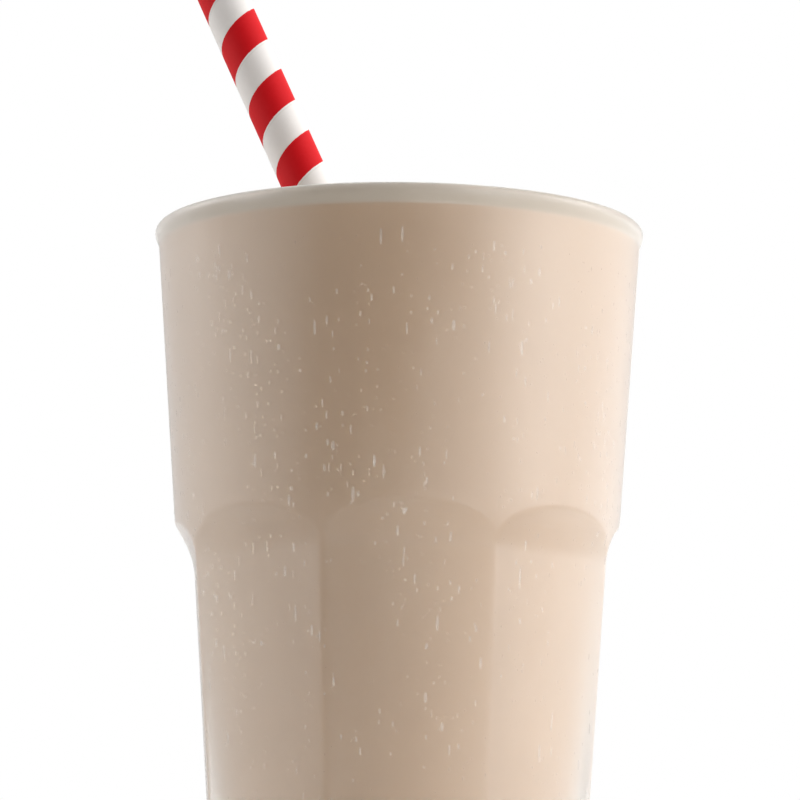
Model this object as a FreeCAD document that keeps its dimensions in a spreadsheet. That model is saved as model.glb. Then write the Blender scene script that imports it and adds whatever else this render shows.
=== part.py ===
"""A chocolate milkshake in a pressed glass tumbler, with a striped paper straw.

Three pieces stand in one frame, in millimetres: the tumbler on z = 0 with its centre line on Z,
the drink that fills its cavity, and the straw that leans in the drink against the rim.
"""
import FreeCAD, Part
import math
import os
import Sketcher

# Every size that can be set by itself, with what it measures.
SIZES = [
    ("rim_diameter", 78.0, "across the outside of the lip"),
    ("glass_height", 131.0, "table to the top of the rim"),
    ("base_diameter", 58.4, "across the outer cone where it meets the table"),
    ("rim_thickness", 2.6, "wall at the fully rounded rim"),
    ("lip_flare", 0.4, "how far the lip stands out of the outer cone"),
    ("lip_height", 3.4, "rim down to where the lip dies into the cone"),
    ("cavity_floor_diameter", 37.0, "inner cone where it meets the floor"),
    ("base_thickness", 12.0, "table to the cavity floor"),
    ("cavity_corner_radius", 8.0, "round between the inner wall and the floor"),
    ("foot_inner_diameter", 36.0, "inner edge of the ring it stands on"),
    ("punt_height", 1.6, "hollow of the underside at its middle"),
    ("heel_radius", 3.0, "round between the outer cone and the foot"),
    ("panel_count", 8, "flat panels round the lower body"),
    ("panel_height", 76.2, "table to the top of each flat"),
    ("panel_turn", 3.1, "degrees that the panels are turned about Z"),
    ("ridge_inset", 0.15, "how far the ridges stay inside the outer cone"),
    ("cove_radius", 10.5, "hollow that ends each flat in an arch"),
    ("fill_gap", 2.4, "rim down to the edge of the drink"),
    ("froth_rise", 1.0, "how far the drink swells up at its middle"),
    ("drink_clearance", 0.04, "between the drink and what it touches"),
    ("straw_diameter", 8.3, "outside of the straw"),
    ("straw_wall", 0.45, "thickness of the rolled paper"),
    ("straw_length", 197.0, "whole straw, end to end"),
    ("straw_tilt", 27.4, "degrees between the straw and Z"),
    ("straw_bearing", 146.5, "degrees from X to the way it leans"),
    ("straw_offset", 20.6, "from the centre line, square to the lean"),
    ("straw_rim_clearance", 0.05, "between the straw and the rim"),
    ("straw_wall_clearance", 0.3, "between its lower end and the cavity"),
]

# Formulas on the sheet's cells that more than one sketch needs.
RIM_RADIUS = "Sizes.rim_diameter / 2"
BASE_RADIUS = "Sizes.base_diameter / 2"
CONE_TOP_RADIUS = f"({RIM_RADIUS} - Sizes.lip_flare)"
RIM_CENTRE_HEIGHT = "(Sizes.glass_height - Sizes.rim_thickness / 2)"
CAVITY_TOP_RADIUS = f"({RIM_RADIUS} - Sizes.rim_thickness)"
CAVITY_FLOOR_RADIUS = "Sizes.cavity_floor_diameter / 2"


# How finely the straw is fitted: points tried round the rim and round its lower end, and
# how often each search halves its range.
RIM_STEPS = 3600
END_STEPS = 360
HALVINGS = 30

# How near, in millimetres, an edge lies to the place where it is looked for.
EDGE_TOLERANCE = 0.01

# Bulge of an arc as a share of its chord: a half circle, and the least that picks a side.
HALF_CIRCLE = 0.5
SLIGHT = 0.02


def cone_radius(height):
    """Formula for the radius of the outer cone at a height, itself a formula."""
    return f"({BASE_RADIUS} + ({CONE_TOP_RADIUS} - {BASE_RADIUS}) * ({height}) / Sizes.glass_height)"


def cavity_radius(height):
    """Formula for the radius of the inner cone at a height, itself a formula."""
    rise = f"(({height}) - Sizes.base_thickness) / ({RIM_CENTRE_HEIGHT} - Sizes.base_thickness)"
    return f"({CAVITY_FLOOR_RADIUS} + ({CAVITY_TOP_RADIUS} - {CAVITY_FLOOR_RADIUS}) * {rise})"


def make_sheet(doc):
    """Put the driving sizes in the document's spreadsheet, one row each."""
    sheet = doc.addObject("Spreadsheet::Sheet", "Sizes")
    for row, (alias, value, meaning) in enumerate(SIZES, start=1):
        sheet.set(f"A{row}", meaning)
        sheet.set(f"B{row}", str(value))
        sheet.setAlias(f"B{row}", alias)
    doc.recompute()
    return sheet


def new_sketch(body, name, role):
    """Add a sketch to a body, flat on one of the body's own origin planes."""
    sketch = body.newObject("Sketcher::SketchObject", name)
    plane = next(item for item in body.Origin.OriginFeatures if item.Role == role)
    sketch.AttachmentSupport = [(plane, "")]
    sketch.MapMode = "FlatFace"
    return sketch


def evaluate(item, formula):
    """Present value of a formula on the sheet."""
    return float(item.evalExpression(formula))


def bind(sketch, kind, targets, formula):
    """Add a constraint whose value follows a formula on the sheet."""
    index = sketch.addConstraint(Sketcher.Constraint(kind, *targets, evaluate(sketch, formula)))
    sketch.setExpression(f"Constraints[{index}]", formula)


def draw_outline(sketch, corners, arcs):
    """Draw a closed outline through corners, each a pair of formulas for its place.

    A corner whose first formula is None lies on the centre line. `arcs` gives, for the side
    that starts at a corner, how far it first bulges to the left of the way the outline runs,
    as a share of that side's length, and the function that then fixes its centre.
    """
    count = len(corners)
    places = []
    for across, up in corners:
        x = 0.0 if across is None else evaluate(sketch, across)
        places.append(FreeCAD.Vector(x, evaluate(sketch, up), 0))
    ends = []
    for side in range(count):
        first, last = places[side], places[(side + 1) % count]
        if side in arcs:
            bulge = arcs[side][0]
            run = last - first
            middle = (first + last) * 0.5 + FreeCAD.Vector(-run.y, run.x, 0) * bulge
            sketch.addGeometry(Part.Arc(first, middle, last), False)
            # A sketch keeps every arc anticlockwise, so one that bulges left runs backwards.
            ends.append((2, 1) if bulge > 0 else (1, 2))
        else:
            sketch.addGeometry(Part.LineSegment(first, last), False)
            ends.append((1, 2))
    for side in range(count):
        after = (side + 1) % count
        sketch.addConstraint(Sketcher.Constraint("Coincident", side, ends[side][1], after, ends[after][0]))
    for side, (across, up) in enumerate(corners):
        corner = (side, ends[side][0])
        if across is None:
            sketch.addConstraint(Sketcher.Constraint("PointOnObject", *corner, -2))
        else:
            bind(sketch, "DistanceX", corner, across)
        bind(sketch, "DistanceY", corner, up)
    for side, (_, fix_centre) in arcs.items():
        fix_centre(side)


def edge_names(shape, radius, height):
    """Names of a turned shape's level edges at a height and of a radius."""
    names = []
    for number, edge in enumerate(shape.Edges, start=1):
        box = edge.BoundBox
        level = box.ZLength < EDGE_TOLERANCE and abs(box.ZMin - height) < EDGE_TOLERANCE
        if level and abs(box.XMax - radius) < EDGE_TOLERANCE:
            names.append(f"Edge{number}")
    return names


def round_edge(body, name, radius_formula, edge_radius, edge_height):
    """Round the circular edge of the body's last feature that lies at a radius and a height."""
    base = body.Tip
    fillet = body.newObject("PartDesign::Fillet", name)
    fillet.Base = (base, edge_names(base.Shape, edge_radius, edge_height))
    fillet.setExpression("Radius", radius_formula)
    body.Document.recompute()
    return fillet


def make_tumbler(doc, sheet):
    """Turn the tumbler's wall, round its corners and cut the arched panels."""
    body = doc.addObject("PartDesign::Body", "Tumbler")
    body.Label = "glass_tumbler"
    section = new_sketch(body, "WallSection", "XZ_Plane")
    lip_foot = "Sizes.glass_height - Sizes.lip_height"
    corners = [
        (None, "Sizes.punt_height"),
        ("Sizes.foot_inner_diameter / 2", "0"),
        (BASE_RADIUS, "0"),
        (cone_radius(lip_foot), lip_foot),
        (RIM_RADIUS, RIM_CENTRE_HEIGHT),
        (CAVITY_TOP_RADIUS, RIM_CENTRE_HEIGHT),
        (CAVITY_FLOOR_RADIUS, "Sizes.base_thickness"),
        (None, "Sizes.base_thickness"),
    ]

    def centre_on_axis(side):
        section.addConstraint(Sketcher.Constraint("PointOnObject", side, 3, -2))

    def centre_at_rim(side):
        bind(section, "DistanceY", (side, 3), RIM_CENTRE_HEIGHT)

    draw_outline(section, corners, {0: (SLIGHT, centre_on_axis), 4: (-HALF_CIRCLE, centre_at_rim)})
    wall = body.newObject("PartDesign::Revolution", "Wall")
    wall.Profile = section
    wall.ReferenceAxis = (section, ["V_Axis"])
    wall.Angle = 360
    doc.recompute()

    round_edge(body, "Heel", "Sizes.heel_radius", sheet.base_diameter / 2, 0)
    round_edge(body, "CavityCorner", "Sizes.cavity_corner_radius",
               sheet.cavity_floor_diameter / 2, sheet.base_thickness)
    whole = body.Tip.Shape.Volume
    panel = cut_panel(body)
    one_cut = panel.Shape.Volume

    ring = body.newObject("PartDesign::PolarPattern", "Panels")
    ring.Originals = [panel]
    ring.Axis = (section, ["V_Axis"])
    ring.Angle = 360
    ring.setExpression("Occurrences", "Sizes.panel_count")
    body.Tip = ring
    doc.recompute()
    if not ring.Shape.Volume < one_cut < whole:
        raise RuntimeError("the panels cut nothing from the tumbler")
    turn = FreeCAD.Rotation(FreeCAD.Vector(0, 0, 1), sheet.panel_turn)
    body.Placement = FreeCAD.Placement(FreeCAD.Vector(), turn)
    return body


def cut_panel(body):
    """Cut one flat with a hollow run-out above it, which meets the outer cone in an arch."""
    sketch = new_sketch(body, "PanelSection", "XZ_Plane")
    below = "-Sizes.base_thickness"
    beyond = "Sizes.rim_diameter"
    top = "Sizes.panel_height"

    def flat_distance(height):
        return f"({cone_radius(height)} * cos(180 deg / Sizes.panel_count) - Sizes.ridge_inset)"

    foot = FreeCAD.Vector(evaluate(sketch, flat_distance(below)), evaluate(sketch, below), 0)
    flat_top = FreeCAD.Vector(evaluate(sketch, flat_distance(top)), evaluate(sketch, top), 0)
    radius = evaluate(sketch, "Sizes.cove_radius")
    reach = evaluate(sketch, beyond)

    # The cove leaves the flat in line with it and curls outwards through a quarter turn.
    up = (flat_top - foot).normalize()
    outward = FreeCAD.Vector(up.y, -up.x, 0)
    circle = Part.Circle(flat_top + outward * radius, FreeCAD.Vector(0, 0, 1), radius)
    cove = Part.ArcOfCircle(circle, math.atan2(up.y, up.x), math.atan2(up.y, up.x) + math.pi / 2)
    cove_top = flat_top + (outward + up) * radius
    outer_top = cove_top + outward * ((reach - cove_top.x) / outward.x)
    outer_foot = FreeCAD.Vector(reach, foot.y, 0)
    sketch.addGeometry(Part.LineSegment(foot, flat_top), False)
    sketch.addGeometry(cove, False)
    sketch.addGeometry(Part.LineSegment(cove_top, outer_top), False)
    sketch.addGeometry(Part.LineSegment(outer_top, outer_foot), False)
    sketch.addGeometry(Part.LineSegment(outer_foot, foot), False)
    sketch.addConstraint(Sketcher.Constraint("Tangent", 0, 2, 1, 2))
    sketch.addConstraint(Sketcher.Constraint("Tangent", 1, 1, 2, 1))
    sketch.addConstraint(Sketcher.Constraint("Perpendicular", 0, 2))
    for side in (2, 3, 4):
        sketch.addConstraint(Sketcher.Constraint("Coincident", side, 2, (side + 1) % 5, 1))
    sketch.addConstraint(Sketcher.Constraint("Vertical", 3))
    sketch.addConstraint(Sketcher.Constraint("Horizontal", 4))
    bind(sketch, "DistanceX", (0, 1), flat_distance(below))
    bind(sketch, "DistanceY", (0, 1), below)
    bind(sketch, "DistanceX", (0, 2), flat_distance(top))
    bind(sketch, "DistanceY", (0, 2), top)
    bind(sketch, "Radius", (1,), "Sizes.cove_radius")
    bind(sketch, "DistanceX", (3, 1), beyond)

    panel = body.newObject("PartDesign::Pocket", "Panel")
    panel.Profile = sketch
    panel.SideType = "Symmetric"
    panel.Type = "Length"
    panel.setExpression("Length", "2 * Sizes.rim_diameter")
    body.Document.recompute()
    return panel


def make_tube(doc, name, outer_radius, inner_radius, length):
    """Pad a ring along Z from the body's own origin; the sizes are formulas."""
    body = doc.addObject("PartDesign::Body", name)
    ring = new_sketch(body, f"{name}Ring", "XY_Plane")
    for side, formula in enumerate((outer_radius, inner_radius)):
        circle = Part.Circle(FreeCAD.Vector(), FreeCAD.Vector(0, 0, 1), evaluate(ring, formula))
        ring.addGeometry(circle, False)
        ring.addConstraint(Sketcher.Constraint("Coincident", side, 3, -1, 1))
        bind(ring, "Radius", (side,), formula)
    tube = body.newObject("PartDesign::Pad", f"{name}Length")
    tube.Profile = ring
    tube.setExpression("Length", length)
    doc.recompute()
    return body


def make_drink(doc, sheet, straw_place, straw_axis):
    """Fill the cavity to the level of the drink and cut the fill round the straw's wall."""
    fill = doc.addObject("PartDesign::Body", "Fill")
    section = new_sketch(fill, "FillSection", "XZ_Plane")
    level = "(Sizes.glass_height - Sizes.fill_gap)"
    corners = [
        (None, "Sizes.base_thickness"),
        (f"{CAVITY_FLOOR_RADIUS} - Sizes.drink_clearance", "Sizes.base_thickness"),
        (f"{cavity_radius(level)} - Sizes.drink_clearance", level),
        (None, f"{level} + Sizes.froth_rise"),
    ]

    def centre_on_axis(side):
        section.addConstraint(Sketcher.Constraint("PointOnObject", side, 3, -2))

    draw_outline(section, corners, {2: (-SLIGHT, centre_on_axis)})
    turned = fill.newObject("PartDesign::Revolution", "FillTurned")
    turned.Profile = section
    turned.ReferenceAxis = (section, ["V_Axis"])
    turned.Angle = 360
    doc.recompute()
    round_edge(fill, "FillCorner", "Sizes.cavity_corner_radius",
               sheet.cavity_floor_diameter / 2 - sheet.drink_clearance, sheet.base_thickness)

    outer = "Sizes.straw_diameter / 2 + Sizes.drink_clearance"
    inner = "Sizes.straw_diameter / 2 - Sizes.straw_wall - Sizes.drink_clearance"
    space = make_tube(doc, "StrawSpace", outer, inner, "Sizes.straw_length")
    below_end = straw_place.Base - straw_axis * sheet.drink_clearance
    space.Placement = FreeCAD.Placement(below_end, straw_place.Rotation)

    drink = doc.addObject("Part::Cut", "Drink")
    drink.Label = "milkshake"
    drink.Base = fill
    drink.Tool = space
    doc.recompute()
    if not drink.Shape.Volume < fill.Shape.Volume:
        raise RuntimeError("the straw's wall cut nothing from the drink")
    return drink


def meeting_place(gap, near, far):
    """Place between near, where the gap is open, and far, where it is closed, of no gap."""
    for _ in range(HALVINGS):
        middle = (near + far) / 2
        if gap(middle) > 0:
            near = middle
        else:
            far = middle
    return near


def rim_gap(sheet, point, axis):
    """Gap between the rounded rim and a straw whose centre line runs through a point."""
    ring_radius = (sheet.rim_diameter - sheet.rim_thickness) / 2
    ring_height = sheet.glass_height - sheet.rim_thickness / 2
    nearest = math.inf
    for step in range(RIM_STEPS):
        angle = 2 * math.pi * step / RIM_STEPS
        on_ring = FreeCAD.Vector(ring_radius * math.cos(angle), ring_radius * math.sin(angle), ring_height)
        nearest = min(nearest, on_ring.distanceToLine(point, axis))
    touching = (sheet.straw_diameter + sheet.rim_thickness) / 2
    return nearest - touching - sheet.straw_rim_clearance


def cavity_gap(sheet, point):
    """Gap between a point in the cavity and the nearest of wall, floor and rounded corner."""
    floor_radius = sheet.cavity_floor_diameter / 2
    spread = sheet.rim_diameter / 2 - sheet.rim_thickness - floor_radius
    rise = sheet.glass_height - sheet.rim_thickness / 2 - sheet.base_thickness
    above = point.z - sheet.base_thickness
    taper = math.atan2(spread, rise)
    wall = (floor_radius + spread * above / rise - math.hypot(point.x, point.y)) * math.cos(taper)
    corner = sheet.cavity_corner_radius
    if wall < corner and above < corner:
        return corner - math.hypot(corner - wall, corner - above)
    return min(wall, above)


def end_gap(sheet, centre, axis):
    """Gap between the cavity and the edge of the straw's lower end."""
    across = axis.cross(FreeCAD.Vector(0, 0, 1)).normalize() * (sheet.straw_diameter / 2)
    along = axis.cross(across)
    nearest = math.inf
    for step in range(END_STEPS):
        angle = 2 * math.pi * step / END_STEPS
        edge = centre + across * math.cos(angle) + along * math.sin(angle)
        nearest = min(nearest, cavity_gap(sheet, edge))
    return nearest - sheet.straw_wall_clearance


def lean_straw(sheet):
    """Placement and direction of the straw, leaning on the rim with its foot at the wall."""
    tilt = math.radians(sheet.straw_tilt)
    bearing = math.radians(sheet.straw_bearing)
    lean = FreeCAD.Vector(math.cos(bearing), math.sin(bearing), 0)
    beside = FreeCAD.Vector(math.sin(bearing), -math.cos(bearing), 0) * sheet.straw_offset
    axis = lean * math.sin(tilt) + FreeCAD.Vector(0, 0, math.cos(tilt))
    level = FreeCAD.Vector(0, 0, sheet.glass_height)

    def gap_at_rim(slide):
        return rim_gap(sheet, level + beside + lean * slide, axis)

    slide = meeting_place(gap_at_rim, 0, sheet.rim_diameter / 2)
    entry = level + beside + lean * slide

    def gap_at_end(depth):
        return end_gap(sheet, entry - axis * depth, axis)

    closest = slide / math.sin(tilt)
    depth = meeting_place(gap_at_end, closest, sheet.glass_height / math.cos(tilt))
    turn = FreeCAD.Rotation(FreeCAD.Vector(0, 0, 1), axis)
    return FreeCAD.Placement(entry - axis * depth, turn), axis


def make_straw(doc, place):
    """Roll the straw as a plain tube and lean it in the glass."""
    outer = "Sizes.straw_diameter / 2"
    inner = "Sizes.straw_diameter / 2 - Sizes.straw_wall"
    body = make_tube(doc, "Straw", outer, inner, "Sizes.straw_length")
    body.Label = "paper_straw"
    body.Placement = place
    return body


def check_model(doc, pieces):
    """Stop if any object failed or any piece is not one valid solid."""
    for item in doc.Objects:
        if "Invalid" in item.State or "Error" in item.State:
            raise RuntimeError(f"{item.Label} failed: {item.State}")
    for piece in pieces:
        shape = piece.Shape
        if shape.isNull() or not shape.isValid() or len(shape.Solids) != 1:
            raise RuntimeError(f"{piece.Label} is not one valid solid")


def main():
    """Build the three pieces and write each to its own file."""
    doc = FreeCAD.newDocument("Milkshake")
    sheet = make_sheet(doc)
    tumbler = make_tumbler(doc, sheet)
    place, axis = lean_straw(sheet)
    straw = make_straw(doc, place)
    drink = make_drink(doc, sheet, place, axis)
    doc.recompute()
    pieces = (tumbler, drink, straw)
    check_model(doc, pieces)
    os.makedirs("parts", exist_ok=True)
    for piece in pieces:
        piece.Shape.exportStep(f"parts/{piece.Label}.step")
        print(f"{piece.Label}: {piece.Shape.Volume / 1000:.2f} cubic centimetres")
    foot = place.Base
    print(f"straw foot at {foot.x:.2f}, {foot.y:.2f}, {foot.z:.2f}")


main()
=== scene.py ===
"""Looks of a chocolate milkshake: a pressed glass tumbler, the drink and a striped paper straw.

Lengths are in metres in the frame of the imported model: the tumbler stands on z = 0 with its
centre line on Z. Each sub-assembly is a class that works out its surfaces with numpy from a few
sizes, builds its meshes and gives them their finish.
"""
import logging
import math
from dataclasses import dataclass
from enum import Enum

import bpy
import numpy as np
from mathutils import Matrix, Vector


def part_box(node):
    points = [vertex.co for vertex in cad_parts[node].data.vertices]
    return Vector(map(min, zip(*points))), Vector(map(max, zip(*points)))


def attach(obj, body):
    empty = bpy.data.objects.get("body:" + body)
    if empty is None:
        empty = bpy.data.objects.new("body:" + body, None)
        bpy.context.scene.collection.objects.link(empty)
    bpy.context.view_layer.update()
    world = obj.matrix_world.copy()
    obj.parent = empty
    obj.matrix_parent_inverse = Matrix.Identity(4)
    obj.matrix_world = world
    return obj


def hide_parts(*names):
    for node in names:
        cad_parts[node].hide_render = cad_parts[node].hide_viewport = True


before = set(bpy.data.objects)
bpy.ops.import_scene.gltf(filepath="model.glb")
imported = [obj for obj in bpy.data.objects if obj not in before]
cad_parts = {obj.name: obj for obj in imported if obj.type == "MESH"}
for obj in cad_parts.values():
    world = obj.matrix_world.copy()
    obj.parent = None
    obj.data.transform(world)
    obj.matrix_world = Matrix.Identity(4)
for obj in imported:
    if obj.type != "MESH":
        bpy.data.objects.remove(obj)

LOG = logging.getLogger("milkshake")
MM = 0.001
TURN = 2.0 * math.pi
NO_TRIANGLES = np.zeros((0, 3), dtype=int)
Colour = tuple[float, float, float, float]
WHITE: Colour = (1.0, 1.0, 1.0, 1.0)


def srgb(red: int, green: int, blue: int) -> Colour:
    """Colour written as on a paint chart, 0 to 255, turned into the renderer's linear values.

    Args:
        red: Red, 0 to 255.
        green: Green, 0 to 255.
        blue: Blue, 0 to 255.

    Returns:
        Linear red, green, blue and an alpha of one.
    """
    chart = np.array([red, green, blue]) / 255.0
    linear = np.where(chart <= 0.04045, chart / 12.92, ((chart + 0.055) / 1.055) ** 2.4)
    return (*(float(part) for part in linear), 1.0)


def smooth_step(value: np.ndarray, low: float, high: float) -> np.ndarray:
    """Ramp from 0 at low to 1 at high, with a level start and end: t * t * (3 - 2 t)."""
    share = np.clip((value - low) / (high - low), 0.0, 1.0)
    return share * share * (3.0 - 2.0 * share)


def ease(count: int, low: float, high: float) -> np.ndarray:
    """Numbers from low to high that crowd together at both ends, as (1 - cos) / 2 does."""
    return low + (high - low) * (1.0 - np.cos(np.linspace(0.0, math.pi, count))) / 2.0


class Pole(Enum):
    """How an end of a grid of rows is closed."""

    OPEN = "open"
    POINT = "point"


# --------------------------------------------------------------------------------------------
# Meshes
# --------------------------------------------------------------------------------------------


@dataclass(frozen=True)
class Grid:
    """A surface of rows by columns that closes round its columns.

    Attributes:
        points: Array of rows by columns by 3. The columns run anticlockwise about the way the
            rows advance.
        start: How the first row is closed.
        end: How the last row is closed.
        ring: Whether the last row joins the first, as on a tube with walls.
        along: Length along the surface at each row, for the V of its own UV map.
    """

    points: np.ndarray
    start: Pole = Pole.OPEN
    end: Pole = Pole.OPEN
    ring: bool = False
    along: np.ndarray | None = None

    def faces(self) -> tuple[np.ndarray, np.ndarray]:
        """Work out the corners of every face as whole arrays.

        Returns:
            Quads as an array of n by 4, and the triangles of the poles as m by 3. A pole's own
            vertex comes after the grid's.
        """
        rows, columns = self.points.shape[:2]
        index = np.arange(rows * columns).reshape(rows, columns)
        if self.ring:
            index = np.vstack([index, index[:1]])
        here, there = index[:-1], index[1:]
        right, far_right = np.roll(here, -1, axis=1), np.roll(there, -1, axis=1)
        quads = np.stack([here, right, far_right, there], axis=-1).reshape(-1, 4)
        fans = []
        pole = rows * columns
        if self.start is Pole.POINT:
            first = index[0]
            fans.append(np.stack([np.full(columns, pole), np.roll(first, -1), first], axis=-1))
            pole += 1
        if self.end is Pole.POINT:
            last = index[-1]
            fans.append(np.stack([last, np.roll(last, -1), np.full(columns, pole)], axis=-1))
        return quads, np.vstack(fans) if fans else NO_TRIANGLES

    def vertices(self) -> np.ndarray:
        """List the grid's points and then its poles, each in the middle of its end row.

        Returns:
            Array of n by 3.
        """
        parts = [self.points.reshape(-1, 3)]
        if self.start is Pole.POINT:
            parts.append(self.points[0].mean(axis=0, keepdims=True))
        if self.end is Pole.POINT:
            parts.append(self.points[-1].mean(axis=0, keepdims=True))
        return np.vstack(parts)

    def uv(self) -> np.ndarray:
        """Own UV of each quad corner: U is the share of a turn and V the length along.

        Returns:
            Array of quad corners by 2.
        """
        rows, columns = self.points.shape[:2]
        along = self.along if not self.ring else np.append(self.along, self.along[0])
        across = np.arange(columns) / columns
        step = 1.0 / columns
        low, high = along[:-1, None], along[1:, None]
        sides = np.broadcast_to(across, (len(along) - 1, columns))
        corners = [(sides, low), (sides + step, low), (sides + step, high), (sides, high)]
        stacked = [np.stack(np.broadcast_arrays(u, v), axis=-1) for u, v in corners]
        return np.stack(stacked, axis=2).reshape(-1, 2)


def make_mesh(name: str, points: np.ndarray, quads: np.ndarray, triangles: np.ndarray) -> bpy.types.Object:
    """Put whole arrays of corners and faces into a smooth mesh object at the origin.

    Args:
        name: Name of the piece.
        points: Vertices, n by 3.
        quads: Corners of the four-sided faces.
        triangles: Corners of the three-sided faces.

    Returns:
        The object, linked to the scene.
    """
    mesh = bpy.data.meshes.new(name)
    corners = np.concatenate([quads.reshape(-1), triangles.reshape(-1)]).astype(np.int32)
    sizes = np.concatenate([np.full(len(quads), 4), np.full(len(triangles), 3)])
    starts = np.concatenate([[0], np.cumsum(sizes)[:-1]]).astype(np.int32)
    mesh.vertices.add(len(points))
    mesh.vertices.foreach_set("co", points.astype(np.float32).reshape(-1))
    mesh.loops.add(len(corners))
    mesh.loops.foreach_set("vertex_index", corners)
    mesh.polygons.add(len(sizes))
    mesh.polygons.foreach_set("loop_start", starts)
    mesh.polygons.foreach_set("use_smooth", np.ones(len(sizes), dtype=bool))
    mesh.update(calc_edges=True)
    mesh.validate()
    piece = bpy.data.objects.new(name, mesh)
    bpy.context.scene.collection.objects.link(piece)
    return piece


def make_piece(name: str, grid: Grid) -> bpy.types.Object:
    """Make one piece from one grid, with its own UV map where the grid gives lengths.

    Args:
        name: Name of the piece.
        grid: Its surface.

    Returns:
        The object, linked to the scene.
    """
    quads, triangles = grid.faces()
    piece = make_mesh(name, grid.vertices(), quads, triangles)
    if grid.along is not None:
        layer = piece.data.uv_layers.new(name="Wrap")
        values = np.zeros((len(piece.data.loops), 2), dtype=np.float32)
        values[: len(quads) * 4] = grid.uv()
        layer.data.foreach_set("uv", values.reshape(-1))
    return piece


def make_sheet(name: str, corners: np.ndarray) -> bpy.types.Object:
    """Make a flat sheet with four corners."""
    return make_mesh(name, corners, np.array([[0, 1, 2, 3]]), NO_TRIANGLES)


def round_z(radius: np.ndarray, angle: np.ndarray, height: np.ndarray) -> np.ndarray:
    """Points (r cos a, r sin a, h) at some radii, angles and heights."""
    return np.stack([radius * np.cos(angle), radius * np.sin(angle), height], axis=-1)


def turned(radii: np.ndarray, heights: np.ndarray, angles: np.ndarray) -> np.ndarray:
    """Turn a profile about Z: each point is (r cos a, r sin a, h).

    Args:
        radii: Radius of each row, or of each row and column.
        heights: Height of each row, or of each row and column.
        angles: Angle of each column from X.

    Returns:
        Array of rows by columns by 3.
    """
    shape = (len(radii), len(angles))
    radius = np.broadcast_to(radii.reshape(len(radii), -1), shape)
    height = np.broadcast_to(heights.reshape(len(heights), -1), shape)
    return round_z(radius, angles, height)


# --------------------------------------------------------------------------------------------
# Shader maths
# --------------------------------------------------------------------------------------------


class Signal:
    """A number that varies over a surface; arithmetic on it adds Math nodes."""

    def __init__(self, tree: "Graph", socket: bpy.types.NodeSocket) -> None:
        """Wrap an output socket of a node tree."""
        self.tree = tree
        self.socket = socket

    def __add__(self, other: "Signal | float") -> "Signal":
        """Sum of this and another value."""
        return self.tree.maths("ADD", self, other)

    __radd__ = __add__

    def __sub__(self, other: "Signal | float") -> "Signal":
        """This less another value."""
        return self.tree.maths("SUBTRACT", self, other)

    def __rsub__(self, other: float) -> "Signal":
        """Another value less this."""
        return self.tree.maths("SUBTRACT", other, self)

    def __mul__(self, other: "Signal | float") -> "Signal":
        """Product of this and another value."""
        return self.tree.maths("MULTIPLY", self, other)

    __rmul__ = __mul__

    def __mod__(self, other: float) -> "Signal":
        """Remainder of this by another value, never negative."""
        return self.tree.maths("FLOORED_MODULO", self, other)

    def larger(self, other: "Signal | float") -> "Signal":
        """The larger of this and another value."""
        return self.tree.maths("MAXIMUM", self, other)

    def distance(self, other: float) -> "Signal":
        """How far this is from another value, either way."""
        return self.tree.maths("ABSOLUTE", self - other)

    def ramp(self, low: float, high: float) -> "Signal":
        """Zero at low and one at high, smooth between, and level beyond."""
        return self.tree.ramp(self, low, high)


class Graph:
    """A node tree under construction."""

    def __init__(self, tree: bpy.types.NodeTree) -> None:
        """Start with an empty tree.

        Args:
            tree: The tree to fill.
        """
        self.nodes = tree.nodes
        self.links = tree.links
        self.nodes.clear()

    def node(self, kind: str, settings: dict | None = None, sockets: dict | None = None) -> bpy.types.Node:
        """Add a node, set it up and feed its sockets.

        Args:
            kind: The node's type.
            settings: Properties of the node, set first.
            sockets: Values or links of its inputs, by name or number.

        Returns:
            The node.
        """
        made = self.nodes.new(kind)
        for key, value in (settings or {}).items():
            setattr(made, key, value)
        for key, value in (sockets or {}).items():
            if isinstance(value, Signal):
                self.links.new(value.socket, made.inputs[key])
            elif isinstance(value, bpy.types.NodeSocket):
                self.links.new(value, made.inputs[key])
            else:
                made.inputs[key].default_value = value
        return made

    def maths(self, operation: str, *values: "Signal | float") -> Signal:
        """Add a Math node on one or two values."""
        made = self.node("ShaderNodeMath", {"operation": operation}, dict(enumerate(values)))
        return Signal(self, made.outputs[0])

    def ramp(self, value: Signal, low: float, high: float) -> Signal:
        """Add a smooth ramp from zero at low to one at high.

        Args:
            value: What is read.
            low: Where it starts.
            high: Where it ends.

        Returns:
            The ramp.
        """
        settings = {"interpolation_type": "SMOOTHSTEP"}
        made = self.node("ShaderNodeMapRange", settings, {"Value": value, "From Min": low, "From Max": high})
        return Signal(self, made.outputs[0])

    def parts(self, vector: bpy.types.NodeSocket) -> list[Signal]:
        """Split a vector into its three numbers."""
        split = self.node("ShaderNodeSeparateXYZ", None, {0: vector})
        return [Signal(self, output) for output in split.outputs]

    def between(self, share: Signal, first: bpy.types.Node, second: bpy.types.Node) -> bpy.types.Node:
        """Mix two shaders by a share of the second."""
        return self.node("ShaderNodeMixShader", None, {0: share, 1: first.outputs[0], 2: second.outputs[0]})

    def either(self, *outputs: bpy.types.NodeSocket) -> Signal:
        """One where any of some zero-or-one outputs is one.

        Args:
            outputs: The outputs to read.

        Returns:
            Their largest value.
        """
        total = Signal(self, outputs[0])
        for output in outputs[1:]:
            total = total.larger(Signal(self, output))
        return total

    def seen(self) -> Signal:
        """One where the eye looks, straight or by way of gloss or glass.

        Returns:
            One or zero for each ray.
        """
        path = self.node("ShaderNodeLightPath")
        names = ("Is Camera Ray", "Is Glossy Ray", "Is Transmission Ray")
        return self.either(*(path.outputs[name] for name in names))


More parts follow.
